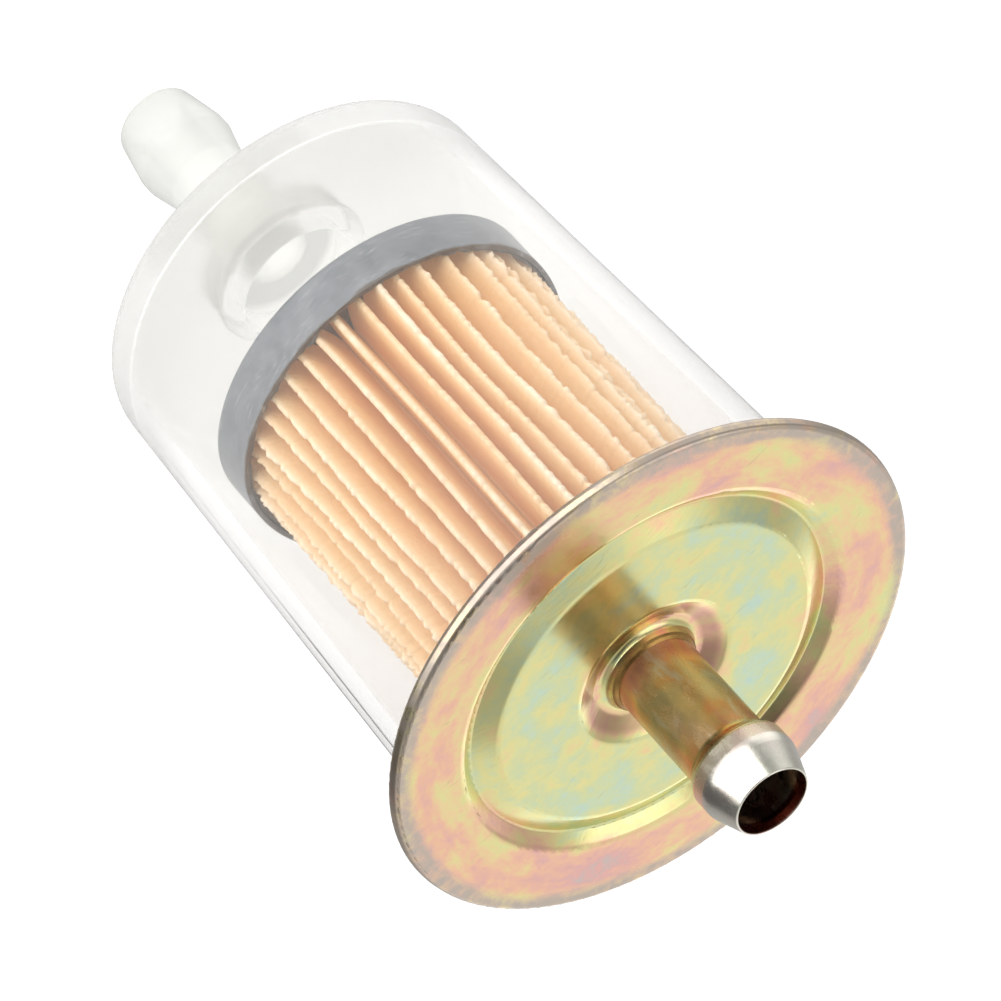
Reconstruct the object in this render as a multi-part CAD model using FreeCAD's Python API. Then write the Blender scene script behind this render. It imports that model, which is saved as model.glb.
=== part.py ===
import FreeCAD, Part
import math
import os

# In-line fuel filter. Millimetres. +Z runs along the filter's axis from the plastic inlet nipple
# to the steel outlet nipple, and the origin is the middle of the inlet nipple's open end.

# Driving dimensions
HOSE_BORE_R = 4.0            # both nipples take 8 mm hose
PLATE_R = 27.0               # outside of the rolled rim
PLATE_Z = 83.1               # front of the flat ring of the end plate
MOUTH_Z = 101.1              # open end of the steel nipple
SHEET = 0.35                 # steel sheet of the end plate
BOWL_FAR_Z = 24.2            # outside of the bowl's far wall
BOWL_FAR_R = 20.15
BOWL_NEAR_R = 22.4           # outside of the bowl where it meets its flange
WALL = 1.9                   # moulded wall
CAP_R = 17.0                 # outside of both element caps
ELEMENT_FAR_Z = 38.8         # outside of the closed cap

# Nipples
BULGE_R = 4.8                # the ridge that holds the hose
STEEL_BORE_R = 3.4
STEEL_WALL = 0.6
STEEL_INNER_Z = 76.5         # end of the steel tube inside the element
STEEL_STEM_END_Z = 94.9      # where the stem starts to swell
STEEL_RIDGE_Z = (95.9, 97.9)  # corners of the ridge, before they are rounded
STEEL_NOSE_R = 3.72
STEEL_MOUTH_R = 3.56         # the bore opens a little at the mouth
MOULDED_BORE_R = 3.0
MOULDED_STEM_END_Z = 9.4
MOULDED_RIDGE_Z = (4.7, 5.9)
MOULDED_NOSE_R = 3.95
BOSS_R = 7.6                 # hollow boss that carries the moulded nipple
BOSS_H = 4.5

# End plate pressing, radius and height of its front face relative to the flat ring
COLLAR_TOP = -0.1
DIMPLE_DEPTH = 1.15
DIMPLE_FLOOR_R = 5.7
PANEL_INNER_R = 7.95
PANEL_RISE = 0.05
PANEL_OUTER_R = 16.3
GROOVE_R = 18.65
GROOVE_DEPTH = 1.1
RING_INNER_R = 20.0
HEM_DEPTH = 1.1              # outside height of the rolled rim
HEM_LEAN = 0.2               # its side leans in towards the front
HEM_SLOPE = math.radians(30)  # the folded leg leans back along the bowl's flange
HEM_LEG = 2.1                # its radial length

# Bowl flange
FLANGE_R = 26.25
FLANGE_GAP = 0.03            # running gap to the steel
SEAL_INNER_R = 21.0
SEAL_OUTER_R = 24.0
SEAL_T = 0.6
SEAL_POCKET_R = 24.2

# Element
CAP_SHEET = 0.45
CAP_DEPTH = 5.0
ELEMENT_NEAR_Z = 80.9        # outside of the open cap
GLUE_T = 1.5
PLEATS = 44
PAPER = 0.35
PLEAT_TIP_R = 16.2
PLEAT_ROOT_R = 8.9
CORE_R = 8.5
CORE_SHEET = 0.4
CORE_HOLE_R = 1.2
CORE_ROWS = 8
CORE_HOLES_ROUND = 8
GROMMET_NECK_R = 5.7
GROMMET_LIP_R = 6.6

PARTS = {}


def add(name, shape):
    PARTS[name] = shape


def point(r, z):
    return FreeCAD.Vector(r, 0, z)


def rounded_wire(corners):
    """Closed wire in the XZ plane. Each corner is (radius, height) or (radius, height, fillet)."""
    count = len(corners)
    starts, middles, ends = [], [], []
    for i, corner in enumerate(corners):
        here = point(corner[0], corner[1])
        fillet = corner[2] if len(corner) > 2 else 0
        if fillet <= 0:
            starts.append(here)
            middles.append(None)
            ends.append(here)
            continue
        before = point(*corners[i - 1][:2])
        after = point(*corners[(i + 1) % count][:2])
        to_before = (before - here).normalize()
        to_after = (after - here).normalize()
        half = to_before.getAngle(to_after) / 2
        reach = fillet / math.tan(half)
        bisector = (to_before + to_after).normalize()
        starts.append(here + to_before * reach)
        middles.append(here + bisector * (fillet / math.sin(half) - fillet))
        ends.append(here + to_after * reach)
    edges = []
    for i in range(count):
        if middles[i] is not None:
            edges.append(Part.Arc(starts[i], middles[i], ends[i]).toShape())
        following = starts[(i + 1) % count]
        if (following - ends[i]).Length > 1e-6:
            edges.append(Part.LineSegment(ends[i], following).toShape())
    return Part.Wire(edges)


def lathe(corners):
    """Solid turned from a closed outline about +Z."""
    face = Part.Face(rounded_wire(corners))
    return face.revolve(FreeCAD.Vector(0, 0, 0), FreeCAD.Vector(0, 0, 1), 360)


def sheet_outline(path, thickness):
    """Closed outline of a bent sheet. path is its middle line, as corners of (r, z, bend radius)."""
    half = thickness / 2
    near_side, far_side = [], []
    for i, (r, z, bend) in enumerate(path):
        here = point(r, z)
        arriving = here - point(*path[i - 1][:2]) if i > 0 else None
        leaving = point(*path[i + 1][:2]) - here if i < len(path) - 1 else None
        arriving = (arriving or leaving).normalize()
        leaving = leaving.normalize() if leaving else arriving
        normal_in = FreeCAD.Vector(-arriving.z, 0, arriving.x)
        normal_out = FreeCAD.Vector(-leaving.z, 0, leaving.x)
        mitre = (normal_in + normal_out).normalize()
        mitre = mitre * (half / mitre.dot(normal_in))
        turn = arriving.x * leaving.z - arriving.z * leaving.x
        inside = math.copysign(half, turn) if abs(turn) > 1e-9 else 0
        near = here + mitre
        far = here - mitre
        near_side.append((near.x, near.z, max(bend - inside, 0) if bend else 0))
        far_side.append((far.x, far.z, max(bend + inside, 0) if bend else 0))
    return near_side + far_side[::-1]


def ring(inner_r, outer_r, low_z, high_z, fillet=0):
    """Plain washer or sleeve."""
    return lathe([
        (inner_r, low_z, fillet),
        (outer_r, low_z, fillet),
        (outer_r, high_z, fillet),
        (inner_r, high_z, fillet),
    ])


def bowl():
    """Clear moulded cup: flange, tapered wall, far wall, hollow boss and hose nipple in one."""
    boss_z = BOWL_FAR_Z - BOSS_H
    front_z = PLATE_Z - SHEET - FLANGE_GAP
    pocket_z = PLATE_Z - SHEET - SEAL_T
    hem_leg_z = PLATE_Z - HEM_DEPTH + SHEET / 2 * (1 + 1 / math.cos(HEM_SLOPE))
    flange_back_z = hem_leg_z + FLANGE_GAP - (PLATE_R - SHEET / 2 - FLANGE_R) * math.tan(HEM_SLOPE)
    foot_r = BOWL_NEAR_R + 0.3
    foot_z = flange_back_z - (FLANGE_R - foot_r) * math.tan(HEM_SLOPE)
    core_near_r = BOWL_NEAR_R - WALL
    core_far_r = BOWL_FAR_R - WALL - 0.1
    return lathe([
        (MOULDED_BORE_R, 0, 0.3),
        (MOULDED_NOSE_R, 0, 0.45),
        (BULGE_R, MOULDED_RIDGE_Z[0], 1.5),
        (BULGE_R, MOULDED_RIDGE_Z[1], 1.5),
        (HOSE_BORE_R, MOULDED_STEM_END_Z, 2.0),
        (HOSE_BORE_R, boss_z, 0.8),
        (BOSS_R - 0.2, boss_z, 0.8),
        (BOSS_R, BOWL_FAR_Z, 0.6),
        (BOWL_FAR_R, BOWL_FAR_Z, 1.6),
        (BOWL_NEAR_R, foot_z - 1.0, 1.5),
        (foot_r + 0.4, foot_z, 0.8),
        (FLANGE_R, flange_back_z, 0.05),
        (FLANGE_R, front_z, 0.05),
        (SEAL_POCKET_R, front_z),
        (SEAL_POCKET_R, pocket_z),
        (core_near_r, pocket_z, 0.4),
        (core_far_r, BOWL_FAR_Z + WALL, 1.2),
        (BOSS_R - 1.6, BOWL_FAR_Z + WALL, 0.5),
        (BOSS_R - 1.8, boss_z + WALL, 0.5),
        (MOULDED_BORE_R, boss_z + WALL, 0.3),
    ])


def end_plate():
    """Pressed steel disc, from its turned-out collar to the rim rolled over the bowl's flange."""
    half = SHEET / 2
    collar_r = HOSE_BORE_R + 0.06 + half
    floor_z = PLATE_Z - DIMPLE_DEPTH - half
    panel_z = PLATE_Z + PANEL_RISE - half
    ring_z = PLATE_Z - half
    hem_r = PLATE_R - half
    hem_z = PLATE_Z - HEM_DEPTH + half
    path = [
        (collar_r, PLATE_Z + COLLAR_TOP, 0),
        (collar_r, floor_z, 0.95),
        (DIMPLE_FLOOR_R, floor_z, 0.9),
        (PANEL_INNER_R, panel_z, 0.8),
        (PANEL_OUTER_R, panel_z, 1.0),
        (GROOVE_R, PLATE_Z - GROOVE_DEPTH - half, 0.5),
        (RING_INNER_R, ring_z, 0.8),
        (hem_r - HEM_LEAN, ring_z, 0.3),
        (hem_r, hem_z, 0.25),
        (hem_r - HEM_LEG, hem_z - HEM_LEG * math.tan(HEM_SLOPE), 0),
    ]
    return lathe(sheet_outline(path, SHEET))


def outlet_tube():
    """Steel nipple with a rolled bulge, its wall following the bulge inside and out."""
    inner_bulge_r = BULGE_R - STEEL_WALL
    ridge_low_z, ridge_high_z = STEEL_RIDGE_Z
    return lathe([
        (STEEL_BORE_R, STEEL_INNER_Z),
        (HOSE_BORE_R, STEEL_INNER_Z, 0.2),
        (HOSE_BORE_R, STEEL_STEM_END_Z, 1.2),
        (BULGE_R, ridge_low_z, 0.6),
        (BULGE_R, ridge_high_z, 3.0),
        (STEEL_NOSE_R, MOUTH_Z, 0.12),
        (STEEL_MOUTH_R, MOUTH_Z, 0.05),
        (STEEL_BORE_R, MOUTH_Z - 0.8),
        (inner_bulge_r, ridge_high_z - 0.6, 2.0),
        (inner_bulge_r, ridge_low_z + 0.2, 0.4),
        (STEEL_BORE_R, STEEL_STEM_END_Z, 1.2),
    ])


def braze_ring():
    """Fillet of braze metal on top of the collar, against the tube."""
    top_z = PLATE_Z + COLLAR_TOP
    return lathe([
        (HOSE_BORE_R, top_z),
        (HOSE_BORE_R + 0.06 + SHEET, top_z),
        (HOSE_BORE_R + 0.26, top_z + 0.22, 0.12),
        (HOSE_BORE_R, top_z + 0.4),
    ])


def rim_seal():
    """Rubber ring squeezed between the bowl's flange and the end plate."""
    top_z = PLATE_Z - SHEET
    return ring(SEAL_INNER_R, SEAL_OUTER_R, top_z - SEAL_T, top_z, 0.12)


def element_cap(outside_z, inward, hole_r=0):
    """Pressed cup over one end of the element. inward is +1 or -1, the way its skirt runs."""
    skirt_z = outside_z + inward * CAP_DEPTH
    floor_z = outside_z + inward * CAP_SHEET
    return lathe([
        (hole_r, outside_z),
        (CAP_R, outside_z, 0.6),
        (CAP_R, skirt_z),
        (CAP_R - CAP_SHEET, skirt_z),
        (CAP_R - CAP_SHEET, floor_z, 0.15),
        (hole_r, floor_z),
    ])


def glue_layer(low_z, hole_r=0):
    """Disc of adhesive that fills the bottom of a cap."""
    if hole_r:
        return ring(hole_r, CAP_R - CAP_SHEET - 0.1, low_z, low_z + GLUE_T)
    return Part.makeCylinder(CAP_R - CAP_SHEET - 0.1, GLUE_T, point(0, low_z))


def pleated_media(low_z, high_z):
    """One strip of filter paper folded into a star, as a thin-walled prism."""
    step = 2 * math.pi / PLEATS
    outer, inner = [], []
    for i in range(PLEATS):
        tip = i * step
        root = tip + step / 2
        outer.append((PLEAT_TIP_R, tip - PAPER / PLEAT_TIP_R))
        outer.append((PLEAT_TIP_R, tip + PAPER / PLEAT_TIP_R))
        outer.append((PLEAT_ROOT_R + PAPER, root))
        inner.append((PLEAT_TIP_R - PAPER, tip))
        inner.append((PLEAT_ROOT_R, root - PAPER / PLEAT_ROOT_R))
        inner.append((PLEAT_ROOT_R, root + PAPER / PLEAT_ROOT_R))

    def star(points):
        corners = [FreeCAD.Vector(r * math.cos(a), r * math.sin(a), low_z) for r, a in points]
        return Part.Face(Part.makePolygon(corners + corners[:1]))

    along = FreeCAD.Vector(0, 0, high_z - low_z)
    return star(outer).extrude(along).cut(star(inner).extrude(along))


def seam_glue(low_z, high_z):
    """Bead of glue that joins the strip's two ends, inside the tip of one fold."""
    outer_r = PLEAT_TIP_R - 1.6 * PAPER
    inner_r = outer_r - 1.6
    half_tip = 0.02
    half_root = 0.12
    corners = [
        point(outer_r, low_z) + FreeCAD.Vector(0, half_tip, 0),
        point(inner_r, low_z) + FreeCAD.Vector(0, half_root, 0),
        point(inner_r, low_z) - FreeCAD.Vector(0, half_root, 0),
        point(outer_r, low_z) - FreeCAD.Vector(0, half_tip, 0),
    ]
    face = Part.Face(Part.makePolygon(corners + corners[:1]))
    return face.extrude(FreeCAD.Vector(0, 0, high_z - low_z))


def centre_tube(low_z, high_z):
    """Perforated core, with every second row of holes turned by half a step."""
    tube = ring(CORE_R - CORE_SHEET, CORE_R, low_z, high_z)
    row_step = (high_z - low_z) / CORE_ROWS
    drills = []
    for row in range(CORE_ROWS):
        z = low_z + row_step * (row + 0.5)
        for k in range(CORE_HOLES_ROUND):
            turn = 360 / CORE_HOLES_ROUND * (k + 0.5 * (row % 2))
            drill = Part.makeCylinder(CORE_HOLE_R, 2.0, point(CORE_R - 1.2, z), FreeCAD.Vector(1, 0, 0))
            drill.rotate(FreeCAD.Vector(0, 0, 0), FreeCAD.Vector(0, 0, 1), turn)
            drills.append(drill)
    return tube.cut(drills)


def element_grommet():
    """Rubber bush in the open cap's hole, between the steel tube and the dimple of the plate."""
    low_z = ELEMENT_NEAR_Z - CAP_SHEET
    top_z = PLATE_Z - DIMPLE_DEPTH - SHEET
    return lathe([
        (HOSE_BORE_R, low_z - 1.6, 0.2),
        (GROMMET_NECK_R, low_z - 1.6, 0.5),
        (GROMMET_NECK_R + 0.35, low_z - 0.05, 0.2),
        (GROMMET_NECK_R, low_z),
        (GROMMET_NECK_R, ELEMENT_NEAR_Z),
        (GROMMET_LIP_R, ELEMENT_NEAR_Z, 0.15),
        (GROMMET_LIP_R, top_z, 0.2),
        (HOSE_BORE_R, top_z, 0.2),
    ])


far_glue_z = ELEMENT_FAR_Z + CAP_SHEET
near_glue_z = ELEMENT_NEAR_Z - CAP_SHEET - GLUE_T
paper_low_z = far_glue_z + GLUE_T
paper_high_z = near_glue_z

add("bowl", bowl())
add("end_plate", end_plate())
add("outlet_tube", outlet_tube())
add("braze_ring", braze_ring())
add("rim_seal", rim_seal())
add("closed_end_cap", element_cap(ELEMENT_FAR_Z, 1))
add("open_end_cap", element_cap(ELEMENT_NEAR_Z, -1, GROMMET_NECK_R))
add("closed_end_glue", glue_layer(far_glue_z))
add("open_end_glue", glue_layer(near_glue_z, GROMMET_LIP_R + 0.3))
add("pleated_media", pleated_media(paper_low_z, paper_high_z))
add("seam_glue", seam_glue(paper_low_z, paper_high_z))
add("centre_tube", centre_tube(paper_low_z, paper_high_z))
add("element_grommet", element_grommet())

os.makedirs("parts", exist_ok=True)
for name, shape in PARTS.items():
    if not shape.isValid() or len(shape.Solids) != 1:
        raise RuntimeError(name + " is not one valid solid")
    shape.Solids[0].exportStep("parts/" + name + ".step")
    box = shape.BoundBox
    print("%-16s %8.1f mm3  r %.2f  z %.2f to %.2f" % (name, shape.Volume, box.XMax, box.ZMin, box.ZMax))
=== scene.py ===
"""Looks of the in-line fuel filter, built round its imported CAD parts. Metres, +Z along the axis."""

import math
import random

import bpy
from mathutils import Matrix, Vector, noise


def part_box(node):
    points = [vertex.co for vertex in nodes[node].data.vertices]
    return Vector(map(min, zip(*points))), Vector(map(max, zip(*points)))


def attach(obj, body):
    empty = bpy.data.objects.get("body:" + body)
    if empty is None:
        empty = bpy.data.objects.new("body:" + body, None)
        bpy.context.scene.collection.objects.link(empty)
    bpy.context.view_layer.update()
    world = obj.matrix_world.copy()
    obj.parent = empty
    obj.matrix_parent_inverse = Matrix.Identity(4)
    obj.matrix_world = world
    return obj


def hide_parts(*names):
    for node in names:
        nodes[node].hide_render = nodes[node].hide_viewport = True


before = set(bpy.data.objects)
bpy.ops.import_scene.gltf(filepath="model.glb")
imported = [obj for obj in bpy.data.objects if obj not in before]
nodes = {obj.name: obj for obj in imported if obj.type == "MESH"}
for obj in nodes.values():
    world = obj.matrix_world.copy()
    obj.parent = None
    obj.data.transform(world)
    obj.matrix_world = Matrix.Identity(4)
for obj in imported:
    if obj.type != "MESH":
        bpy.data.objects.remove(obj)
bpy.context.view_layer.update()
MM = 0.001          # metres in a millimetre
TO_MM = 1000.0      # millimetres in a metre


# Node helpers

def put(tree, kind, inputs=None, **settings):
    """Adds a node. Each input is a value, or the output socket to link."""
    made = tree.nodes.new(kind)
    for name, value in settings.items():
        setattr(made, name, value)
    for name, value in (inputs or {}).items():
        if isinstance(value, bpy.types.NodeSocket):
            tree.links.new(value, made.inputs[name])
        else:
            made.inputs[name].default_value = value
    return made


def calc(tree, operation, *values):
    return put(tree, "ShaderNodeMath", dict(enumerate(values)), operation=operation).outputs[0]


def remap(tree, value, low, high, to_low=0.0, to_high=1.0, smooth=True):
    kind = "SMOOTHSTEP" if smooth else "LINEAR"
    inputs = {"Value": value, "From Min": low, "From Max": high, "To Min": to_low, "To Max": to_high}
    return put(tree, "ShaderNodeMapRange", inputs, interpolation_type=kind).outputs[0]


def cloud(tree, where, scale, detail=2.0, rough=0.5, warp=0.0):
    inputs = {"Vector": where, "Scale": scale, "Detail": detail, "Roughness": rough, "Distortion": warp}
    return put(tree, "ShaderNodeTexNoise", inputs).outputs["Fac"]


def spread(tree, noise_value, to_low=0.0, to_high=1.0, smooth=True):
    """Draws out a cloud, whose values mostly lie from 0.3 to 0.7, over the whole of another range."""
    return remap(tree, noise_value, 0.3, 0.7, to_low, to_high, smooth)


def ramp(tree, value, stops, plain=False):
    """Colour ramp. stops are (position, colour as 0 to 255), read as sRGB unless plain."""
    made = put(tree, "ShaderNodeValToRGB", {"Fac": value})
    line = made.color_ramp.elements
    while len(line) > 1:
        line.remove(line[-1])
    for i, (position, colour) in enumerate(stops):
        stop = line[0] if i == 0 else line.new(position)
        stop.position = position
        stop.color = [c / 255 for c in colour] + [1] if plain else rgb(*colour)
    return made.outputs["Color"]


def blend_colour(tree, share, first, second):
    """The first colour where share is 0 and the second where it is 1."""
    made = put(tree, "ShaderNodeMix", data_type="RGBA")
    for socket, value in ((made.inputs[0], share), (made.inputs[6], first), (made.inputs[7], second)):
        if isinstance(value, bpy.types.NodeSocket):
            tree.links.new(value, socket)
        else:
            socket.default_value = value
    return made.outputs[2]


def rgb(red, green, blue):
    """sRGB, 0 to 255, as the linear colour that a shader takes."""
    return tuple(
        c / 12.92 if c <= 0.04045 else ((c + 0.055) / 1.055) ** 2.4
        for c in (red / 255, green / 255, blue / 255)
    ) + (1.0,)


def material(name):
    made = bpy.data.materials.new(name)
    made.use_nodes = True
    made.node_tree.nodes.clear()
    return made, made.node_tree


def place(tree):
    """Object coordinates in the row frame and their parts, with the radius and height in millimetres."""
    where = put(tree, "ShaderNodeTexCoord").outputs["Object"]
    parts = put(tree, "ShaderNodeSeparateXYZ", {0: where}).outputs
    x_squared = calc(tree, "MULTIPLY", parts[0], parts[0])
    y_squared = calc(tree, "MULTIPLY", parts[1], parts[1])
    metres = calc(tree, "SQRT", calc(tree, "ADD", x_squared, y_squared))
    radius = calc(tree, "MULTIPLY", metres, TO_MM)
    height = calc(tree, "MULTIPLY", parts[2], TO_MM)
    return where, parts, radius, height


def wound(tree, parts, radius, turns, per_mm):
    """Coordinates that run round the axis, so that noise is drawn out along the circles."""
    scale = calc(tree, "DIVIDE", TO_MM * turns, radius)
    x = calc(tree, "MULTIPLY", parts[0], scale)
    y = calc(tree, "MULTIPLY", parts[1], scale)
    z = calc(tree, "MULTIPLY", radius, per_mm)
    return put(tree, "ShaderNodeCombineXYZ", {0: x, 1: y, 2: z}).outputs[0]


def stretch(tree, where, x, y, z):
    """Coordinates scaled along each axis: below 1 draws a pattern out, above 1 squeezes it."""
    return put(tree, "ShaderNodeMapping", {"Vector": where, "Scale": (x, y, z)}).outputs[0]


def bump(tree, height, strength, distance):
    inputs = {"Height": height, "Strength": strength, "Distance": distance}
    return put(tree, "ShaderNodeBump", inputs).outputs[0]


def frame_mm(node):
    """Lowest and highest point of a node, in millimetres."""
    low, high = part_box(node)
    return low.z * TO_MM, high.z * TO_MM


def surface(tree, shader):
    put(tree, "ShaderNodeOutputMaterial", {"Surface": shader})


# Materials

def clear_plastic():
    """Clear moulding with a faint veil, milkier behind the element and most at the boss and nipple."""
    made, tree = material("clear_plastic_moulded")
    where, _, _, height = place(tree)
    # rounded heights in millimetres: end of the boss, far wall, back of the closed cap, near the flange
    boss_end, far_wall, cap_back, near_end = 20.0, 24.0, 38.0, 80.0
    scuffs = cloud(tree, stretch(tree, where, 1, 1, 0.25), 140, 1)
    haze = calc(tree, "ADD", remap(tree, cloud(tree, where, 120, 3), 0.35, 0.75, 0.02, 0.06),
                remap(tree, height, cap_back, cap_back - 8.0, 0.0, 0.20))
    glass = put(tree, "ShaderNodeBsdfPrincipled", {
        "Base Color": rgb(250, 249, 247),
        "Roughness": haze,
        "IOR": 1.17,
        "Transmission Weight": 1.0,
        "Normal": bump(tree, scuffs, 0.015, 0.0002),
    }).outputs[0]
    milk = put(tree, "ShaderNodeBsdfPrincipled", {
        "Base Color": ramp(tree, remap(tree, height, 0.0, near_end, smooth=False), [
            (0.0, (198, 199, 194)),
            (0.22, (230, 231, 226)),
            (0.30, (200, 201, 197)),
            (0.42, (208, 208, 204)),
            (0.50, (240, 240, 236)),
            # painted shade: from the middle of the bowl towards the flange the milk turns darker and warmer
            (0.75, (228, 222, 216)),
            (1.0, (200, 190, 184)),
        ]),
        "Roughness": 0.35,
        "IOR": 1.49,
    }).outputs[0]
    veil = spread(tree, cloud(tree, where, 60, 2), 0.07, 0.12)
    milky = calc(tree, "ADD", remap(tree, height, cap_back, cap_back - 10.0, 0.0, 0.15), veil)
    milky = calc(tree, "ADD", remap(tree, height, far_wall, boss_end, 0.0, 0.55), milky)
    # painted shade: the wall also turns milkier towards the flange
    milky = calc(tree, "ADD", remap(tree, height, 52.0, near_end, 0.0, 0.10), milky)
    # the milk lies on front faces only, so that a far wall seen from within stays clear
    inside = put(tree, "ShaderNodeNewGeometry").outputs["Backfacing"]
    milky = calc(tree, "MULTIPLY", milky, calc(tree, "SUBTRACT", 1.0, inside))
    cup = put(tree, "ShaderNodeMixShader", {0: milky, 1: glass, 2: milk}).outputs[0]
    # shadow and diffuse rays pass nearly unhindered, which lights the element inside
    path = put(tree, "ShaderNodeLightPath").outputs
    unseen = calc(tree, "MAXIMUM", path["Is Shadow Ray"], path["Is Diffuse Ray"])
    clear = put(tree, "ShaderNodeBsdfTransparent", {"Color": (0.97, 0.97, 0.97, 1)}).outputs[0]
    surface(tree, put(tree, "ShaderNodeMixShader", {0: unseen, 1: cup, 2: clear}).outputs[0])
    return made


def plated_steel():
    """Yellow zinc plating: a thin film whose tint drifts through blue, green, yellow, orange and pink."""
    made, tree = material("plate_yellow_zinc")
    where, parts, radius, _ = place(tree)
    drift = cloud(tree, wound(tree, parts, radius, 2.6, 0.28), 1.0, 5, 0.56, 0.3)
    fine = cloud(tree, where, 620, 4, 0.65, 0.3)
    scratch = cloud(tree, stretch(tree, where, 1, 7, 1), 330, 3, 0.7, 1.2)
    # thickness of the film, 0 to 255, by radius in millimetres: collar and dimple, panel, groove, ring
    thickness = [
        (4.8, 98), (5.4, 154), (7.1, 160), (7.8, 100),
        (9.2, 84), (10.5, 68), (14.8, 70), (16.2, 92),
        (18.2, 98), (19.8, 134), (22.0, 142), (26.0, 150),
    ]
    reach = 28.0
    stops = [(at / reach, (level, level, level)) for at, level in thickness]
    zone = ramp(tree, calc(tree, "MULTIPLY", radius, 1 / reach), stops, plain=True)
    swing = calc(tree, "MULTIPLY", remap(tree, radius, 17.0, 20.0, 0.15, 0.23),
                 spread(tree, drift, -1.0, 1.0, smooth=False))
    film = calc(tree, "ADD", zone, swing)
    film = calc(tree, "ADD", film, spread(tree, fine, -0.07, 0.07, smooth=False))
    tint = ramp(tree, film, [
        (0.0, (186, 204, 204)),
        (0.12, (190, 212, 192)),
        (0.25, (204, 212, 166)),
        (0.38, (220, 214, 150)),
        (0.50, (230, 202, 152)),
        (0.62, (232, 184, 156)),
        (0.76, (220, 172, 164)),
        (0.90, (188, 184, 180)),
        (1.0, (188, 200, 168)),
    ])
    tint = blend_colour(tree, remap(tree, scratch, 0.62, 0.74, 0, 0.25), tint, rgb(150, 140, 120))
    # the rolled rim is worn greyer and duller, from a wavering edge outwards
    edge = calc(tree, "ADD", radius, calc(tree, "MULTIPLY", drift, 2.6))
    worn = calc(tree, "MULTIPLY", remap(tree, edge, 25.9, 27.2), remap(tree, fine, 0.30, 0.60, 0.5, 1.0))
    tint = blend_colour(tree, worn, tint, rgb(184, 172, 160))
    dulled = calc(tree, "MULTIPLY", worn, 0.16)
    # painted shade: the dimple is darker and pinker, most of all from 6.0 to 6.7 mm out
    dimple = calc(tree, "MULTIPLY", remap(tree, radius, 5.3, 6.0), remap(tree, radius, 7.5, 6.7, 0.0, 0.38))
    tint = blend_colour(tree, dimple, tint, rgb(120, 80, 76))
    finish = put(tree, "ShaderNodeBsdfPrincipled", {
        "Base Color": tint,
        "Metallic": 1.0,
        "Roughness": calc(tree, "ADD", spread(tree, fine, 0.16, 0.24), dulled),
        "Normal": bump(tree, scratch, 0.04, 0.0002),
    }).outputs[0]
    surface(tree, finish)
    return made


def tube_steel():
    """Plated stem with hose scuffs, a bare silvery nose and a dark reddish bore."""
    made, tree = material("tube_plated_steel")
    where, _, radius, height = place(tree)
    nose_from, nose_full = 95.6, 96.8       # heights in millimetres
    bore_r, lip_r = 3.5, 3.62               # radii in millimetres
    scuff = cloud(tree, stretch(tree, where, 1, 1, 0.35), 520, 5, 0.7, 1.0)
    drift = cloud(tree, where, 210, 3, 0.5, 0.5)
    patches = spread(tree, drift, smooth=False)
    stem = ramp(tree, patches, [
        (0.0, (176, 158, 134)),
        (0.5, (208, 180, 140)),
        (1.0, (222, 160, 106)),
    ])
    stem = blend_colour(tree, remap(tree, scuff, 0.55, 0.68, 0, 0.7), stem, rgb(206, 198, 184))
    silver = ramp(tree, patches, [
        (0.0, (208, 210, 192)),
        (0.5, (222, 218, 206)),
        (1.0, (226, 208, 200)),
    ])
    end = calc(tree, "ADD", height, calc(tree, "MULTIPLY", scuff, 0.9))
    tint = blend_colour(tree, remap(tree, end, nose_from, nose_full), stem, silver)
    outside = remap(tree, radius, bore_r, lip_r)
    tint = blend_colour(tree, outside, rgb(120, 52, 36), tint)
    finish = put(tree, "ShaderNodeBsdfPrincipled", {
        "Base Color": tint,
        "Metallic": 1.0,
        "Roughness": remap(tree, scuff, 0.35, 0.7, 0.20, 0.34),
        "Normal": bump(tree, scuff, 0.10, 0.0002),
    }).outputs[0]
    surface(tree, finish)
    return made


def cap_steel():
    """Mottled grey steel with scratches round it, a painted highlight along the far edge and specks at the
    skirt's end.
    """
    made, tree = material("cap_grey_steel")
    where, _, _, height = place(tree)
    far_edge, skirt_end = frame_mm("closed_end_cap")
    mottle = cloud(tree, where, 340, 5, 0.65)
    scratches = cloud(tree, stretch(tree, where, 1, 0.4, 7), 820, 3, 0.7, 0.3)
    tint = ramp(tree, mottle, [(0.3, (114, 118, 124)), (0.7, (142, 145, 150))])
    tint = blend_colour(tree, remap(tree, scratches, 0.58, 0.68, 0, 0.6), tint, rgb(186, 187, 189))
    # painted highlight: a pale band just inside the far edge, where its rounded bend catches the light
    painted_edge_highlight = remap(tree, height, far_edge + 0.30, far_edge + 0.12, 0.0, 0.8)
    tint = blend_colour(tree, painted_edge_highlight, tint, rgb(226, 228, 231))
    ragged = calc(tree, "ADD", height, calc(tree, "MULTIPLY", mottle, 1.6))
    specks = remap(tree, ragged, skirt_end + 0.55, skirt_end + 0.85, 0.0, 0.8)
    tint = blend_colour(tree, specks, tint, rgb(88, 74, 62))
    finish = put(tree, "ShaderNodeBsdfPrincipled", {
        "Base Color": tint,
        "Metallic": 0.7,
        "Roughness": spread(tree, mottle, 0.30, 0.42),
        "Normal": bump(tree, scratches, 0.10, 0.0002),
    }).outputs[0]
    surface(tree, finish)
    return made


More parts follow.
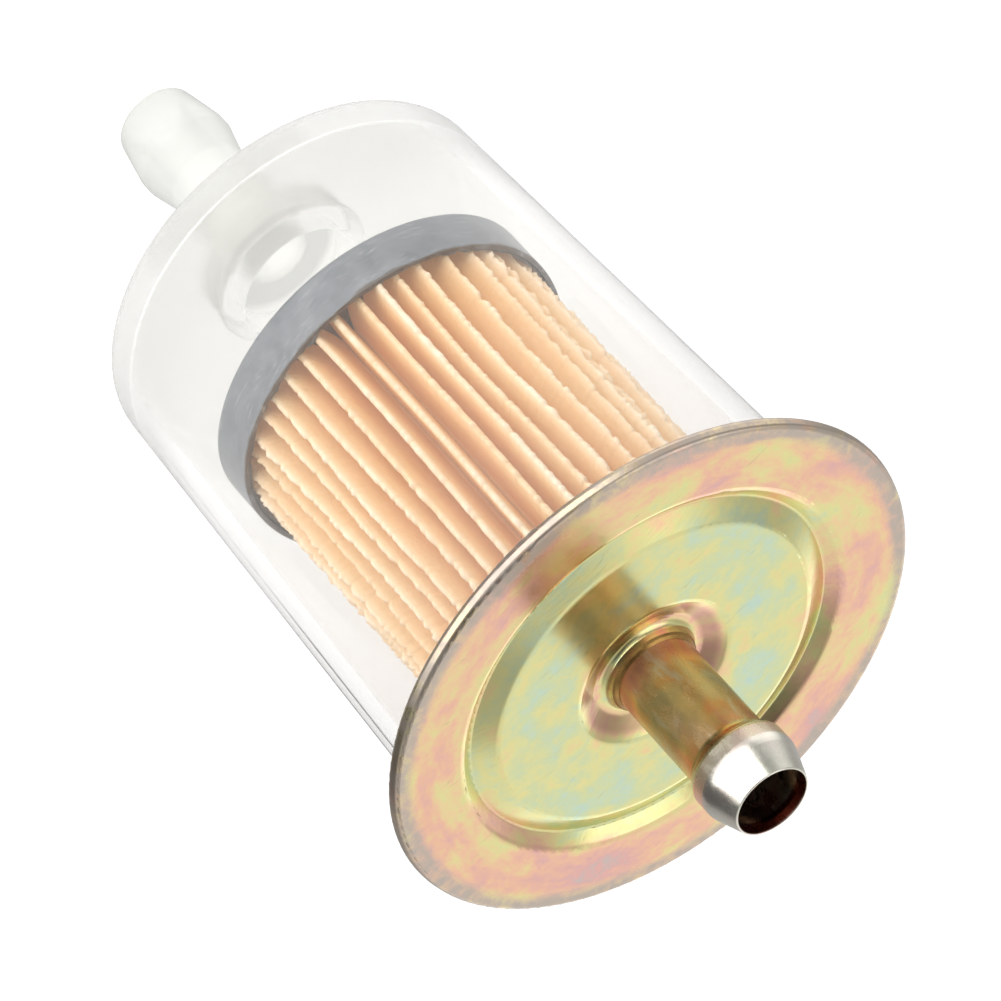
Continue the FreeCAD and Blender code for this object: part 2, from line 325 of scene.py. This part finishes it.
def filter_paper():
    """Tan paper with blotches and fibres and a faint painted glow, deeper orange towards the roots of the
    pleats and paler towards their tips, painted shade and highlight.
    """
    made, tree = material("filter_paper_pleated")
    where, _, radius, _ = place(tree)
    root_r, tip_r = 9.0, 16.4       # in millimetres
    fibres = cloud(tree, where, 2400, 5, 0.7)
    blotches = cloud(tree, stretch(tree, where, 1, 1, 0.4), 260, 3)
    # painted shade and highlight: deeper orange towards the roots of the pleats and paler towards their
    # tips
    tint = ramp(tree, remap(tree, radius, root_r, tip_r, smooth=False), [
        (0.0, (234, 180, 116)),
        (0.5, (234, 196, 142)),
        (0.84, (228, 192, 142)),
        (0.93, (237, 211, 172)),
        (1.0, (246, 231, 208)),
    ])
    tint = blend_colour(tree, remap(tree, blotches, 0.4, 0.7, 0, 0.35), tint, rgb(236, 188, 136))
    tint = blend_colour(tree, remap(tree, fibres, 0.5, 0.75, 0, 0.3), tint, rgb(255, 232, 200))
    finish = put(tree, "ShaderNodeBsdfPrincipled", {
        "Base Color": tint,
        "Roughness": 0.9,
        "Specular IOR Level": 0.15,
        # painted glow: the emission below stands in for the daylight that soaks through thin paper
        "Emission Color": rgb(246, 190, 132),   # the daylight that soaks through thin paper
        "Emission Strength": 0.10,
        "Normal": bump(tree, fibres, 0.5, 0.0003),
    }).outputs[0]
    surface(tree, finish)
    return made


def rough_stuff(name, dark, light, scale, roughness, metallic=0.0, relief=0.3):
    """Cast, moulded or poured stuff: two tones, a mottled sheen and a grain."""
    made, tree = material(name)
    where, _, _, _ = place(tree)
    mottle = cloud(tree, where, scale, 4, 0.6, 0.3)
    grain = cloud(tree, where, scale * 6, 3, 0.6)
    tint = ramp(tree, mottle, [(0.3, dark), (0.7, light)])
    finish = put(tree, "ShaderNodeBsdfPrincipled", {
        "Base Color": tint,
        "Metallic": metallic,
        "Roughness": spread(tree, grain, roughness - 0.08, roughness + 0.08),
        "Normal": bump(tree, grain, relief, 0.0002),
    }).outputs[0]
    surface(tree, finish)
    return made


cap = cap_steel()
paper = filter_paper()
glue = rough_stuff("potting_glue", (92, 88, 84), (138, 132, 124), 500, 0.5)
rubber = rough_stuff("black_rubber", (28, 28, 29), (44, 43, 42), 600, 0.62)
finishes = {
    "bowl": clear_plastic(),
    "end_plate": plated_steel(),
    "outlet_tube": tube_steel(),
    "braze_ring": rough_stuff("braze_metal", (132, 98, 54), (176, 138, 80), 240, 0.28, 1.0, 0.08),
    "rim_seal": rubber,
    "element_grommet": rubber,
    "closed_end_cap": cap,
    "open_end_cap": cap,
    "centre_tube": rough_stuff("core_tinned_steel", (150, 150, 148), (186, 186, 182), 300, 0.4, 0.9),
    "seam_glue": glue,
}
for name, finish in finishes.items():
    mesh = nodes[name].data
    mesh.materials.clear()
    mesh.materials.append(finish)


# Pieces made here

def new_piece(name, points, faces, finish, slot, *stands_for):
    """A smooth mesh that rides on the body and stands for the CAD nodes named last."""
    mesh = bpy.data.meshes.new(name)
    mesh.from_pydata(points, [], faces)
    mesh.polygons.foreach_set("use_smooth", [True] * len(faces))
    mesh.materials.append(finish)
    piece = bpy.data.objects.new(name, mesh)
    bpy.context.scene.collection.objects.link(piece)
    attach(piece, "root")
    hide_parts(*stands_for)
    return piece


def quads(rows, columns):
    """Faces of a grid of points whose columns go round."""
    return [
        (r * columns + c, r * columns + (c + 1) % columns,
         (r + 1) * columns + (c + 1) % columns, (r + 1) * columns + c)
        for r in range(rows - 1)
        for c in range(columns)
    ]


def pleated_paper():
    """One strip of stiff paper in tight folds that lean and bunch, with frayed fold edges.

    Radii are in millimetres and heights in metres. Fold 0 carries the glued seam, so it doesn't sway.
    """
    low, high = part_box("pleated_media")
    folds, levels = 44, 180
    root_r, tip_r = 9.1, 16.05
    paper_thickness = 0.30
    shoulder = 0.15             # half the width of a fold's rounded tip
    tip_depth = 0.16            # from the tip back to its shoulders
    flank = (0.33, 0.67)        # places on each flank, as shares of its length
    most_bow = 0.16             # how far a flank bulges sideways
    bunched = {26: -0.20, 27: -0.42, 28: -0.25, 29: 0.10}      # folds that lean together, in steps
    step = 2 * math.pi / folds
    rng = random.Random(23)
    tips = [i * step + (step * rng.uniform(-0.20, 0.20) if i else 0) for i in range(folds)]
    for i, shift in bunched.items():
        tips[i] = (i + shift) * step
    roots = [(i + 0.5 + rng.uniform(-0.08, 0.08)) * step for i in range(folds)]
    reach = [tip_r + rng.uniform(-0.3, 0.15) for _ in range(folds)]

    def at(radius, angle, z):
        return Vector((radius * math.cos(angle) * MM, radius * math.sin(angle) * MM, z))

    points = []
    for level in range(levels):
        z = low.z + (high.z - low.z) * level / (levels - 1)
        hang = math.sqrt(max(0.0, math.sin(math.pi * level / (levels - 1))))
        tip_at, out_to = [], []
        for i in range(folds):
            sway = noise.noise(Vector((i * 0.45, z * 45, 2.0))) * 0.30 * hang if i else 0
            fray = noise.noise(Vector((i * 3.1, z * 900, 7.0)))
            fray += 1.3 * noise.noise(Vector((i * 5.3, z * 2300, 1.0)))
            tip_at.append(tips[i] + step * sway)
            out_to.append(reach[i] + 0.25 * noise.noise(Vector((i * 1.7, z * 60, 5.0))) + 0.24 * fray)
        for i in range(folds):
            before = at(root_r, roots[i - 1], z)
            after = at(root_r, roots[i], z)
            half = shoulder / out_to[i]
            left = at(out_to[i] - tip_depth, tip_at[i] - half, z)
            right = at(out_to[i] - tip_depth, tip_at[i] + half, z)
            bow = most_bow * MM * noise.noise(Vector((i * 0.9, z * 70, 9.0)))
            side = Vector((-math.sin(tip_at[i]), math.cos(tip_at[i]), 0)) * bow
            points.append(before)
            points.extend(before.lerp(left, f) + side * math.sin(math.pi * f) for f in flank)
            points.append(left)
            points.append(at(out_to[i], tip_at[i], z))
            points.append(right)
            points.extend(right.lerp(after, f) + side * math.sin(math.pi * f) for f in flank)
    faces = quads(levels, len(points) // levels)
    piece = new_piece("pleated_paper", points, faces, paper, "filter_paper", "pleated_media")
    thick = piece.modifiers.new("paper_thickness", "SOLIDIFY")
    thick.thickness = paper_thickness * MM
    thick.offset = 0.0


def glue_pool(name, node, outward, creep):
    """Poured glue that wets the paper and creeps up the cap's skirt by about creep, in millimetres.

    outward is 1 where the pool faces +Z, a full disc, and -1 where it faces -Z, a ring.
    """
    low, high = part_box(node)
    floor_z, top_z = (low.z, high.z) if outward > 0 else (high.z, low.z)
    hole_r = 0.0 if outward > 0 else 7.0
    hub_r = hole_r + 0.02
    spokes = 200
    seed = random.Random(5 if outward > 0 else 6).uniform(0, 50)
    # radius in millimetres, climb as a share of the creep (0 is the floor), liveliness of the waves
    rings = [
        (hub_r, 0.0, 0), (12.0, 0.0, 0), (16.5, 0.0, 0), (16.5, 0.8, 1), (16.3, 1.0, 1),
        (15.9, 0.62, 0.8), (15.3, 0.30, 0.5), (14.2, 0.12, 0.3), (12.0, 0.06, 0.2), (hub_r, 0.05, 0.1),
    ]
    points = []
    for radius, climb, lively in rings:
        for s in range(spokes):
            a = 2 * math.pi * s / spokes
            wave = noise.noise(Vector((math.cos(a) * 9, math.sin(a) * 9, seed)))
            wave += 0.7 * noise.noise(Vector((math.cos(a) * 30, math.sin(a) * 30, seed)))
            if climb == 0.0:
                z = floor_z
            else:
                z = top_z + outward * (creep * climb + 0.45 * lively * wave) * MM
            points.append((radius * math.cos(a) * MM, radius * math.sin(a) * MM, z))
    faces = quads(len(rings), spokes)
    last = (len(rings) - 1) * spokes
    if hole_r:
        faces += [(last + s, last + (s + 1) % spokes, (s + 1) % spokes, s) for s in range(spokes)]
    else:
        faces += [tuple(range(spokes))[::-1], tuple(range(last, last + spokes))]
    new_piece(name, points, faces, glue, "glue", node)


pleated_paper()
glue_pool("closed_end_potting", "closed_end_glue", outward=1, creep=2.9)
glue_pool("open_end_potting", "open_end_glue", outward=-1, creep=2.9)


# Floor, light and camera

def floor():
    """A pale matt floor that reflections don't see."""
    made, tree = material("studio_floor")
    where, _, _, _ = place(tree)
    shade = spread(tree, cloud(tree, where, 3, 3), 0.86, 0.9)
    tint = put(tree, "ShaderNodeCombineColor", {0: shade, 1: shade, 2: shade}).outputs[0]
    finish = put(tree, "ShaderNodeBsdfPrincipled", {
        "Base Color": tint,
        "Roughness": 0.9,
        "Emission Color": (1, 1, 1, 1),
        "Emission Strength": 0.42,
    }).outputs[0]
    surface(tree, finish)
    reach, drop = 12.0, -0.35       # half its width, and its height
    mesh = bpy.data.meshes.new("floor")
    corners = [(-reach, -reach, drop), (reach, -reach, drop), (reach, reach, drop), (-reach, reach, drop)]
    mesh.from_pydata(corners, [], [(0, 1, 2, 3)])
    mesh.materials.append(made)
    piece = bpy.data.objects.new("floor", mesh)
    bpy.context.scene.collection.objects.link(piece)
    piece.visible_glossy = False


def towards(azimuth, elevation):
    """Unit vector. Azimuth is in degrees from -Y towards +X."""
    a, e = math.radians(azimuth), math.radians(elevation)
    return Vector((math.sin(a) * math.cos(e), -math.cos(a) * math.cos(e), math.sin(e)))


def studio_world():
    """Bright and dark patches of a pale room, for reflections and soft light.

    The camera, and what is seen through the bowl, get plain white instead.
    """
    world = bpy.data.worlds.new("studio")
    bpy.context.scene.world = world
    world.use_nodes = True
    tree = world.node_tree
    tree.nodes.clear()
    heading = put(tree, "ShaderNodeTexCoord").outputs["Generated"]
    glow = 0.45
    # azimuth, elevation, half-angles in degrees where a patch starts and is full, gain (dark below 0)
    lobes = [
        (180, 40, 75, 35, 0.55),
        (-74, 52, 27, 18, 1.00),
        (180, 2, 32, 12, 0.50),
        (-80, -38, 45, 15, 1.10),
        (20, 66, 34, 20, -0.34),
        (-140, 34, 24, 8, -0.42),
        (88, -15, 34, 18, -0.32),
        (0, 35, 24, 8, 0.28),
        (118, 54, 24, 8, -0.48),
    ]
    for azimuth, elevation, outer, inner, gain in lobes:
        inputs = {0: heading, 1: towards(azimuth, elevation)}
        aim = put(tree, "ShaderNodeVectorMath", inputs, operation="DOT_PRODUCT").outputs["Value"]
        share = remap(tree, aim, math.cos(math.radians(outer)), math.cos(math.radians(inner)), 0.0, gain)
        glow = calc(tree, "ADD", glow, share)
    path = put(tree, "ShaderNodeLightPath").outputs
    seen = calc(tree, "MAXIMUM", path["Is Camera Ray"], path["Is Transmission Ray"])
    lit = put(tree, "ShaderNodeBackground", {"Color": (1, 1, 1, 1), "Strength": glow}).outputs[0]
    plain = put(tree, "ShaderNodeBackground", {"Color": (1, 1, 1, 1), "Strength": 1.05}).outputs[0]
    mixed = put(tree, "ShaderNodeMixShader", {0: seen, 1: lit, 2: plain}).outputs[0]
    put(tree, "ShaderNodeOutputWorld", {"Surface": mixed})


def softbox(name, azimuth, elevation, distance, wide, tall, power):
    """A rectangular lamp aimed at the filter and hidden from the camera. Metres and watts."""
    light = bpy.data.lights.new(name, "AREA")
    light.shape = "RECTANGLE"
    light.size = wide
    light.size_y = tall
    light.energy = power
    box = bpy.data.objects.new(name, light)
    bpy.context.scene.collection.objects.link(box)
    middle = Vector((0, 0, 0.06))
    box.location = middle + towards(azimuth, elevation) * distance
    box.rotation_euler = (middle - box.location).to_track_quat("-Z", "Y").to_euler()
    box.visible_camera = False
    box.visible_transmission = False


def studio_camera():
    """Long lens, looking down on the steel end, with the filter's axis across the frame."""
    tilt = math.radians(54.69)      # between the filter's axis and the line of sight
    roll = math.radians(137.82)     # about the line of sight
    aim = Vector((-0.00007, 0, 0.05844))
    distance = 0.7108
    back = Vector((0, -math.sin(tilt), math.cos(tilt)))
    level = Vector((1, 0, 0))
    upright = back.cross(level)
    right = level * math.cos(roll) + upright * math.sin(roll)
    up = upright * math.cos(roll) - level * math.sin(roll)
    data = bpy.data.cameras.new("camera")
    data.sensor_width = 36.0
    data.lens = 287.7
    data.clip_start, data.clip_end = 0.01, 50.0
    camera = bpy.data.objects.new("camera", data)
    bpy.context.scene.collection.objects.link(camera)
    turned = Matrix((right, up, back)).transposed().to_4x4()
    camera.matrix_world = Matrix.Translation(aim + back * distance) @ turned
    bpy.context.scene.camera = camera


floor()
studio_world()
softbox("key_softbox", azimuth=13, elevation=1, distance=0.8, wide=1.9, tall=0.62, power=8)
studio_camera()
bpy.context.scene.view_settings.view_transform = "Standard"
cycles = bpy.context.scene.cycles
cycles.max_bounces = 20
cycles.glossy_bounces = 12
cycles.transmission_bounces = 20
cycles.transparent_max_bounces = 24
